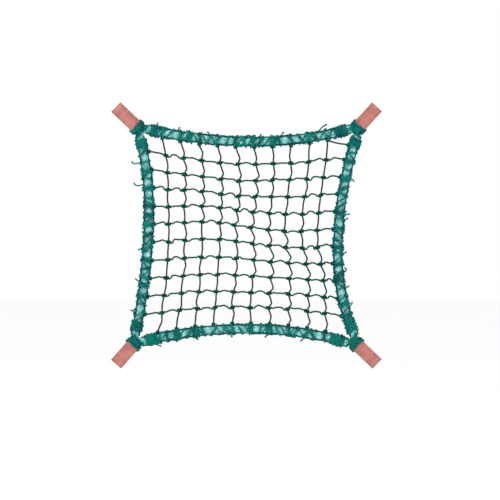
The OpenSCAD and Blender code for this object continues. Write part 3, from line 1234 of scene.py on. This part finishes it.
@dataclass
class CornerLashing:
    """The knob of wound cord at each corner, with the bar through the strap's eye and both legs."""

    border: Border
    lacing: Lacing
    radius: float = 4.8 * MM
    first_ring: float = 14 * MM
    last_ring: float = 61 * MM
    rings: int = 6
    strap_edge: float = 43 * MM
    half_width: float = 37 * MM
    half_depth: float = 26 * MM
    bar_half: float = 43 * MM
    bar_cords: int = 5
    bar_radius: float = 6.4 * MM
    leg_turns: tuple[float, float] = (4.0, 8.0)
    leg_pitch: float = 8.6 * MM

    def build(self) -> None:
        """Builds the lashing of each corner."""
        sides = list(Side)
        for number, corner in enumerate(Corner):
            rng = np.random.default_rng(1300 + number)
            place = self.border.corners[corner]
            work = MeshWork(f"corner_lashing_{corner.value}_wound")
            self._bar(work, place, rng)
            self._knob(work, place, rng)
            for side, at_end in ((sides[number], True), (sides[(number + 1) % 4], False)):
                self._leg(work, side, at_end, rng)
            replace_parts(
                work.to_object(LACING_CORD), f"corner_lashing_{corner.value}"
            )

    def _bar(self, work: MeshWork, place: CornerPlace, rng: np.random.Generator) -> None:
        """Adds the bundle of cords that passes through the strap's eye.

        Args:
            work: The piece to add to.
            place: The corner.
            rng: The random draws.
        """
        reach = float(np.linalg.norm(place.hinge - place.bend))
        across = np.linspace(-self.bar_half, self.bar_half, 12)
        for k in range(self.bar_cords):
            turn = TURN * k / self.bar_cords + across / (60 * MM) * TURN * 0.5
            points = place.at(
                reach + self.bar_radius * np.cos(turn), across, self.bar_radius * np.sin(turn)
            )
            ends = [0, -1]
            inward = place.at(reach - 34 * MM, across[ends] * 0.72, 4 * MM * np.cos(turn[ends]))
            points = np.vstack([inward[0], points, inward[1]])
            work.add_fine_cord(points, self.radius, 0.42, rng)

    def _knob(self, work: MeshWork, place: CornerPlace, rng: np.random.Generator) -> None:
        """Adds the wound rings of the knob, a layer of leaning rings over them, and an inner layer.

        Args:
            work: The piece to add to.
            place: The corner.
            rng: The random draws.
        """
        share = np.linspace(0, 1, self.rings)
        for k, out in enumerate(self.first_ring + share * (self.last_ring - self.first_ring)):
            beside_strap = share[k] > 0.7
            wide = self.strap_edge if beside_strap else self.half_width
            tilt = 0.0 if beside_strap else rng.uniform(-0.15, 0.15)
            deep = self.half_depth + rng.uniform(-1, 2) * MM
            self._ring(work, place, out, wide, deep, tilt, 0.0, rng)
            if not beside_strap:
                self._ring(work, place, out + 4 * MM, wide - 7 * MM, 20.5 * MM, 0.0, 0.0, rng)
        for tilt in (-0.62, -0.34, 0.3, 0.66):
            out = rng.uniform(30, 40) * MM
            wide, deep = self.half_width + 5 * MM, self.half_depth + 5 * MM
            lean = tilt + rng.uniform(-0.1, 0.1)
            self._ring(work, place, out, wide, deep, lean, rng.uniform(-0.2, 0.2), rng)

    def _ring(
        self, work: MeshWork, place: CornerPlace, out: float, wide: float, deep: float,
        tilt: float, twist: float, rng: np.random.Generator,
    ) -> None:
        """Adds one turn round the corner, across the strap.

        Args:
            work: The piece to add to.
            place: The corner.
            out: How far out along the strap the turn lies.
            wide: Half its width across the strap.
            deep: Half its depth.
            tilt: How far it leans along the strap from one side to the other.
            twist: How far its front lies further out than its back.
            rng: The random draws.
        """
        angle = np.linspace(0, TURN * 1.06, 34) + rng.uniform(0, TURN)
        fault = Wander(int(rng.integers(1 << 30)), 1.8 * MM, 2.5)(angle)
        cubes = np.abs(np.sin(angle)) ** 3 + np.abs(np.cos(angle)) ** 3
        square = np.minimum(1 / np.maximum(cubes, 0.3) ** (1 / 3), 1.16)
        across = wide * np.sin(angle) * square
        front = (deep + fault) * np.cos(angle) * square
        points = place.at(out + tilt * across + twist * front + fault, across, front)
        work.add_fine_cord(points, self.radius, 0.47 + rng.uniform(-0.1, 0.08), rng)

    def _leg(self, work: MeshWork, side: Side, at_end: bool, rng: np.random.Generator) -> None:
        """Adds the turns that bind a leg of the rope next to the corner.

        Args:
            work: The piece to add to.
            side: The side of the border.
            at_end: Whether it is the end of the side, and not its start.
            rng: The random draws.
        """
        start, stop = self.border.ends[side]
        turns = rng.uniform(*self.leg_turns)
        width = turns * self.leg_pitch
        sign = -1 if at_end else 1
        root = stop if at_end else start
        middle = root + sign * (rng.uniform(16, 26) * MM + width / 2)
        for turn_count, spread, slant, proud in (
            (turns, width, rng.uniform(-4, 4) * MM, 0.0),
            (1.6, width * 0.5, 14 * MM, 3 * MM),
            (1.5, width * 0.5, -14 * MM, 4 * MM),
        ):
            path = self.lacing.loop_path(
                middle, spread, turn_count, rng.uniform(0, TURN), slant, rng, proud
            )
            work.add_fine_cord(path, self.radius, 0.46 + rng.uniform(-0.08, 0.06), rng)


# ---------------------------------------------------------------- the net


@dataclass
class Netting:
    """The knotted net: cords down, and cords across that hitch round them at each knot."""

    border: Border
    radius: float = 5.2 * MM
    lean: float = 9.5 * MM
    jog: float = 3.5 * MM
    arch: float = 7 * MM
    arch_spread: float = 7 * MM
    slack: float = 11 * MM
    knot_radius: float = 4.6 * MM
    slack_places: tuple[tuple[float, float, float], ...] = (
        (2.0, 1.5, 1.3), (4.5, 1.0, 1.2), (4.0, 3.5, 1.3), (6.0, 6.0, 1.5), (8.0, 7.5, 1.4),
        (7.5, 9.5, 1.2),
    )
    hitch: tuple[tuple[float, float, float], ...] = (
        (-17, 0, 1), (-9, -6, 4), (0, -10, 5.5), (8.5, -5, 4), (9.8, 3, 1), (3, 9.8, -1), (-5, 9, -2.5),
        (-9.8, 1, -4), (-6.5, -7.5, -5.5), (0, -10.8, -6), (8, -9.5, -5.5), (14, -6, -4),
        (20, -1.5, -2.2),
    )

    def build(self) -> None:
        """Builds the cords down, the cords across and the loose strand."""
        rows = [self._sorted(f"knots_row_{row:02d}", 0) for row in range(1, LINES + 1)]
        self.knots = np.array(rows)
        self.ties = {
            Side.TOP: self._sorted("edge_knots_top", 0),
            Side.BOTTOM: self._sorted("edge_knots_bottom", 0),
            Side.LEFT: self._sorted("edge_knots_left", 2)[::-1],
            Side.RIGHT: self._right_ties(),
        }
        for column in range(LINES):
            self._down(column)
        for row in range(LINES):
            self._over(row)
        self._loose_strand()
        for side in Side:
            self._edge_knots(side)

    def _sorted(self, node: str, axis: int) -> Points:
        """Returns the middles of a node's solids in order along an axis."""
        centres = centres_of(node)
        return centres[np.argsort(centres[:, axis])]

    def _right_ties(self) -> Points:
        """Returns the knots on the right side from the top, without the loose strand's."""
        return self._sorted("edge_knots_right", 2)[::-1][1:]

    def _tucked(self, tie: Points, depth: float) -> Points:
        """Returns a place beyond an edge knot, on the way to the middle of the border rope."""
        s = self.border.nearest(tie)
        return tie + unit(self.border.at(s) - tie) * depth

    def _down(self, column: int) -> None:
        """Builds one cord down, with a slow weave from side to side.

        Args:
            column: The number of the cord, from the left.
        """
        rng = np.random.default_rng(1500 + column)
        top, bottom = self.ties[Side.TOP][column], self.ties[Side.BOTTOM][column]
        stops = np.vstack([top, self.knots[:, column], bottom])
        points = [self._tucked(stops[0], TUCK_IN)]
        for n, (here, after) in enumerate(zip(stops[:-1], stops[1:])):
            way = unit(after - here)
            side = np.cross(way, FRONT)
            lean = self.lean * rng.uniform(-0.35, 1.15) * (1 if (column + n) % 2 else -1)
            loose = self._looseness(column, n)
            lean = lean * (1 - loose) - self.slack * loose * rng.uniform(1.1, 1.9)
            points.append(here + side * self.jog * rng.uniform(-1, 1))
            peak = rng.uniform(0.3, 0.74) * (1 - loose) + 0.7 * loose
            for share, size in ((peak * 0.5, 0.55), (peak, 1.0), (0.5 + peak * 0.5, 0.45)):
                depth = rng.uniform(-1.2, 1.2) * MM
                points.append(here + (after - here) * share + side * lean * size + FRONT * depth)
        points += [stops[-1], self._tucked(stops[-1], TUCK_IN)]
        path, _ = smooth_path(np.array(points), 3 * MM)
        work = MeshWork(f"vertical_cord_{column + 1:02d}_laid")
        work.add_laid_cord(path, self.radius, 0.5, phase=rng.uniform(0, TURN))
        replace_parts(work.to_object(NET_CORD), f"vertical_cord_{column + 1:02d}")

    def _looseness(self, column: int, stretch: int) -> float:
        """Finds how slack the net hangs about a stretch of a cord down.

        Args:
            column: The number of the cord.
            stretch: The number of the stretch, from the top.

        Returns:
            The slack, from 0 to 1.
        """
        bells = [
            math.exp(-((column - c) ** 2 + (stretch - r) ** 2) / (2 * w * w))
            for c, r, w in self.slack_places
        ]
        return min(1.0, sum(bells))

    def _over(self, row: int) -> None:
        """Builds one cord across, which arches between its knots and goes round each cord down.

        Args:
            row: The number of the cord, from the top.
        """
        rng = np.random.default_rng(1600 + row)
        stops = np.vstack([self.ties[Side.LEFT][row], self.knots[row], self.ties[Side.RIGHT][row]])
        points = [self._tucked(stops[0], TUCK_IN), stops[0]]
        marks = []
        for n, (here, after) in enumerate(zip(stops[:-1], stops[1:])):
            way = unit(after - here)
            up = np.cross(way, FRONT) * -1
            up = up * np.sign(up[2] or 1)
            arch = self.arch + rng.uniform(-1, 1) * self.arch_spread
            peak = rng.uniform(0.4, 0.62)
            rise, fall = 0.5 * peak + 0.12, 0.4 + 0.6 * peak
            for share, size in ((rise, 0.65), (peak, 1.0), (fall, 0.6)):
                points.append(here + (after - here) * share + up * arch * size)
            if n < LINES:
                marks.append(len(points))
                points.extend(self._hitch_at(after, stops[n], stops[n + 2], rng))
        points += [stops[-1], self._tucked(stops[-1], TUCK_IN)]
        path, places = smooth_path(np.array(points), 2.6 * MM)
        # Painted shade at each hitch: tight rises over the knot and lowers the tone, which darkens the
        # knot and blends in the greener knot colour.
        tight = np.zeros(len(path))
        half = len(self.hitch) / 2
        for mark in marks:
            tight += np.clip(1.6 - np.abs(places - mark - half) / half, 0, 1)
        work = MeshWork(f"horizontal_cord_{row + 1:02d}_knotted")
        work.add_laid_cord(path, self.radius, 0.5 - 0.17 * tight, phase=rng.uniform(0, TURN))
        made = work.to_object(NET_CORD)
        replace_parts(made, f"horizontal_cord_{row + 1:02d}", f"knots_row_{row + 1:02d}")

    def _hitch_at(
        self, knot: Points, before: Points, after: Points, rng: np.random.Generator
    ) -> list[Points]:
        """Places the hitch round a cord down.

        Args:
            knot: The middle of the knot.
            before: The stop before it.
            after: The stop after it.
            rng: The random draws.

        Returns:
            The points of the hitch.
        """
        way = unit(after - before)
        up = np.cross(FRONT, way) * -1
        up = up * np.sign(up[2])
        roll = rng.uniform(-0.25, 0.25)
        cos, sin = math.cos(roll), math.sin(roll)
        way, up = way * cos + up * sin, up * cos - way * sin
        flip = rng.choice([-1, 1])
        size = rng.uniform(1.06, 1.22)
        return [
            knot + (way * x - FRONT * y + up * z * flip) * size * MM for x, y, z in self.hitch
        ]

    def _loose_strand(self) -> None:
        """Builds the short strand that closes off the last mesh at the top right."""
        start = self.ties[Side.TOP][-1]
        stop = self._sorted("edge_knots_right", 2)[::-1][0]
        middle = (start + stop) / 2 - np.array([0, 0, 4]) * MM
        points = np.array([start, middle, stop, self._tucked(stop, TUCK_IN)])
        path, _ = smooth_path(points, 3 * MM)
        work = MeshWork("corner_strand_laid")
        work.add_laid_cord(path, self.radius, 0.5)
        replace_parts(work.to_object(NET_CORD), "corner_strand")

    def _edge_knots(self, side: Side) -> None:
        """Builds the small hitches that tie the net cords to the inner edge of the border.

        Args:
            side: The side of the border.
        """
        rng = np.random.default_rng(1700 + list(Side).index(side))
        work = MeshWork(f"edge_knots_{side.value}_tied")
        for tie in centres_of(f"edge_knots_{side.value}"):
            s = self.border.nearest(tie)
            inset = float((self.border.at(s) - tie).dot(self.border.outward(s)))
            count = 34
            angle = np.linspace(0, 2.2 * TURN, count) + rng.uniform(0, TURN)
            along = np.cos(angle) * 8 * MM
            front = np.sin(angle) * 8.5 * MM
            rise = np.linspace(-5, 5, count) * MM * rng.choice([-1, 1])
            depth = -inset + rise + 1.5 * MM * np.sin(angle * 1.3)
            points = self.border.place(s + along, depth, front)
            # Painted shade: the edge knots get a low tone, which darkens them and blends in the greener
            # knot colour.
            work.add_fine_cord(points, self.knot_radius, 0.36, rng, step=3 * MM)
        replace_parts(work.to_object(NET_CORD), f"edge_knots_{side.value}")


# ---------------------------------------------------------------- the straps


@dataclass
class CornerStrap:
    """A strap of doubled webbing with a sewn eye at each end, on its own body."""

    place: CornerPlace
    width: float = 75 * MM
    thick: float = 3.4 * MM
    lash_eye: float = 24 * MM
    hang_eye: float = 32 * MM
    ribs: int = 30
    rib_height: float = 0.35 * MM
    step: float = 2 * MM
    near_run: float = 22 * MM
    far_run: float = 24 * MM
    throat: float = 13 * MM
    stitch_pitch: float = 5.5 * MM
    thread_radius: float = 0.75 * MM

    def build(self) -> None:
        """Builds the webbing and its stitching."""
        name = self.place.corner.value
        self.length = float(np.linalg.norm(self.place.hang - self.place.hinge))
        webbing = MeshWork(f"corner_strap_{name}_webbing")
        self._webbing(webbing)
        body = f"strap_{name}"
        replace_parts(webbing.to_object(SALMON_WEBBING, body), f"corner_strap_{name}")
        stitching = MeshWork(f"corner_strap_{name}_stitching")
        self._stitching(stitching)
        stitching.to_object(STITCH_THREAD, body)

    @property
    def hinge_reach(self) -> float:
        """Returns how far the strap's hinge lies from the centre of the bend."""
        return float(np.linalg.norm(self.place.hinge - self.place.bend))

    @property
    def near_seam(self) -> float:
        """Returns where the two layers come together beyond the inner eye."""
        return self.lash_eye / 2 + self.near_run

    @property
    def far_seam(self) -> float:
        """Returns where the two layers part before the outer eye."""
        return self.length - self.hang_eye / 2 - self.far_run

    def _profile(self) -> Points:
        """Draws the closed line of the webbing from the side.

        Returns:
            The points of the line: out along the strap, and to the front.
        """
        points = []
        for middle, eye, sign, seam in (
            (0.0, self.lash_eye, -1, self.far_seam),
            (self.length, self.hang_eye, 1, self.near_seam),
        ):
            reach = eye / 2 + self.thick / 2
            for angle in np.radians(np.arange(-110, 111, 20)):
                points.append(
                    (middle + sign * reach * math.cos(angle), reach * math.sin(angle) * sign)
                )
            flat = middle - sign * (reach + self.throat)
            for out in (flat, flat - sign * 8 * MM, seam):
                points.append((out, self.thick / 2 * sign))
        return np.array(points)

    def _webbing(self, work: MeshWork) -> None:
        """Adds the woven band, closed on itself through both eyes.

        Args:
            work: The piece to add to.
        """
        profile = self._profile()
        line = np.stack([profile[:, 0], np.zeros(len(profile)), profile[:, 1]], axis=1)
        path, _ = smooth_path(line, self.step, closed=True)
        path = path[:-1]
        along = unit(np.roll(path, -1, axis=0) - np.roll(path, 1, axis=0))
        normal = np.cross(along, [0, 1, 0])
        columns = np.linspace(-1, 1, self.ribs * 2 + 1)
        edge = 0.045
        past_edge = np.maximum(0, (np.abs(columns) - (1 - edge)) / edge)
        rim = np.sqrt(np.maximum(0.0, 1 - past_edge**2))
        relief = self.rib_height * np.cos(columns * math.pi * self.ribs)
        half = (self.thick / 2 + relief) * np.maximum(rim, 0.12)
        across = np.concatenate([columns, columns[::-1]]) * self.width / 2
        height = np.concatenate([half, -half[::-1]])
        out = path[:, None] + normal[:, None] * height[None, :, None]
        rings = self.place.bend + (
            (out[..., 0] + self.hinge_reach)[..., None] * self.place.way
            + across[None, :, None] * self.place.cross
            + out[..., 2][..., None] * FRONT
        )
        run = np.repeat((arc_lengths(path) / FIBRE_RUN)[:, None], len(across), axis=1)
        ribs = np.broadcast_to(across / (6 * MM), run.shape)
        fibre = np.stack([ribs, np.broadcast_to(np.sign(height), run.shape), run], axis=-1)
        # Painted light and shade: the webbing is lighter down its middle and darker towards its edges,
        # as if it were cupped.
        painted_light_and_edge_shade = 0.56 - 0.24 * np.abs(across / (self.width / 2)) ** 3
        work.add_rings(rings, fibre, np.broadcast_to(painted_light_and_edge_shade, run.shape), closed=True)

    def _stitching(self, work: MeshWork) -> None:
        """Adds the stitches of both faces: rows across beside each eye, along the edges and crosswise.

        Args:
            work: The piece to add to.
        """
        near, far = self.near_seam, self.far_seam
        edge = self.width / 2 - 6 * MM
        for face in (-1, 1):
            front = face * (self.thick + self.rib_height * 0.6)
            rows = []
            for u in (near, near + 8 * MM, far - 8 * MM, far):
                rows.append(((u, -edge), (u, edge)))
            for v in (-edge, edge):
                rows.append(((near, v), (far, v)))
            rows.append(((near, -edge), (far, edge)))
            rows.append(((near, edge), (far, -edge)))
            for (u0, v0), (u1, v1) in rows:
                long = math.hypot(u1 - u0, v1 - v0)
                count = max(2, int(long / self.stitch_pitch))
                for k in range(count):
                    t = np.linspace((k + 0.12) / count, (k + 0.86) / count, 5)
                    rise = np.sin(np.linspace(0, math.pi, 5)) * 0.7 * MM - 0.3 * MM
                    centres = self.place.at(self.hinge_reach, 0, 0) + (
                        np.outer(u0 + (u1 - u0) * t, self.place.way)
                        + np.outer(v0 + (v1 - v0) * t, self.place.cross)
                        + np.outer(front + face * rise, FRONT)
                    )
                    outward = np.repeat(FRONT[None] * face, 5, axis=0)
                    radius = np.full(5, self.thread_radius)
                    work.add_strand(centres, outward, radius, np.full(5, 0.5), 5)


# ---------------------------------------------------------------- the setting


@dataclass
class Setting:
    """The floor, the soft light and the camera."""

    eye: tuple[float, float, float] = (0.0196, -7.0, -0.0812)
    view: float = 2 * math.atan(1.4 / 7)
    floor_z: float = -1.6
    floor_size: float = 60.0

    def build(self) -> None:
        """Sets up the surroundings."""
        self._floor()
        self._light("key_light", (-2.4, -5.0, 4.2), (0, 0, 0), 3.0, 190)
        self._light("fill_light", (3.6, -5.2, 0.6), (0, 0, 0), 3.6, 60)
        self._light("low_light", (0.2, -4.0, -1.1), (0, 0, -0.2), 2.4, 15)
        self._world()
        self._camera()
        bpy.context.scene.view_settings.view_transform = "Standard"

    def _floor(self) -> None:
        """Adds the plain pale floor below the net."""
        half = self.floor_size / 2
        mesh = bpy.data.meshes.new("pale_floor")
        corners = [(-half, -half), (half, -half), (half, half), (-half, half)]
        mesh.from_pydata([(x, y, self.floor_z) for x, y in corners], [], [(0, 1, 2, 3)])
        floor = bpy.data.objects.new("pale_floor", mesh)
        bpy.context.scene.collection.objects.link(floor)
        material = bpy.data.materials.new("pale_floor")
        material.use_nodes = True
        shader = material.node_tree.nodes["Principled BSDF"]
        shader.inputs["Base Color"].default_value = (0.97, 0.97, 0.97, 1)
        shader.inputs["Roughness"].default_value = 0.9
        mesh.materials.append(material)

    def _light(
        self, name: str, place: tuple[float, ...], aim: tuple[float, ...], size: float, power: float
    ) -> None:
        """Adds one soft area light.

        Args:
            name: The name of the light.
            place: Where it stands.
            aim: Where it points.
            size: The length of its side.
            power: Its power in watts.
        """
        light = bpy.data.lights.new(name, "AREA")
        light.size = size
        light.energy = power
        lamp = bpy.data.objects.new(name, light)
        lamp.location = place
        way = Vector(aim) - Vector(place)
        lamp.rotation_euler = way.to_track_quat("-Z", "Y").to_euler()
        bpy.context.scene.collection.objects.link(lamp)

    def _world(self) -> None:
        """Sets a plain near-white surrounding."""
        world = bpy.data.worlds.new("white_studio")
        world.use_nodes = True
        background = world.node_tree.nodes["Background"]
        background.inputs["Color"].default_value = (1.0, 1.0, 1.0, 1)
        background.inputs["Strength"].default_value = 1.0
        bpy.context.scene.world = world

    def _camera(self) -> None:
        """Puts the camera square in front of the net."""
        camera = bpy.data.cameras.new("front_camera")
        camera.sensor_width = 36
        camera.lens = 18 / math.tan(self.view / 2)
        camera.clip_end = 100
        holder = bpy.data.objects.new("front_camera", camera)
        holder.location = self.eye
        holder.rotation_euler = (math.pi / 2, 0, 0)
        bpy.context.scene.collection.objects.link(holder)
        bpy.context.scene.camera = holder


def main() -> None:
    """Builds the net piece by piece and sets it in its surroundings."""
    logging.basicConfig(level=logging.INFO, format="%(name)s: %(message)s")
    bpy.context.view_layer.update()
    border = Border()
    lacing = Lacing(border)
    RopeCore(border).build()
    EdgeCords(border).build()
    lacing.build()
    CornerLashing(border, lacing).build()
    Netting(border).build()
    for corner in Corner:
        CornerStrap(border.corners[corner]).build()
    Setting().build()


if __name__ == "__main__":
    main()
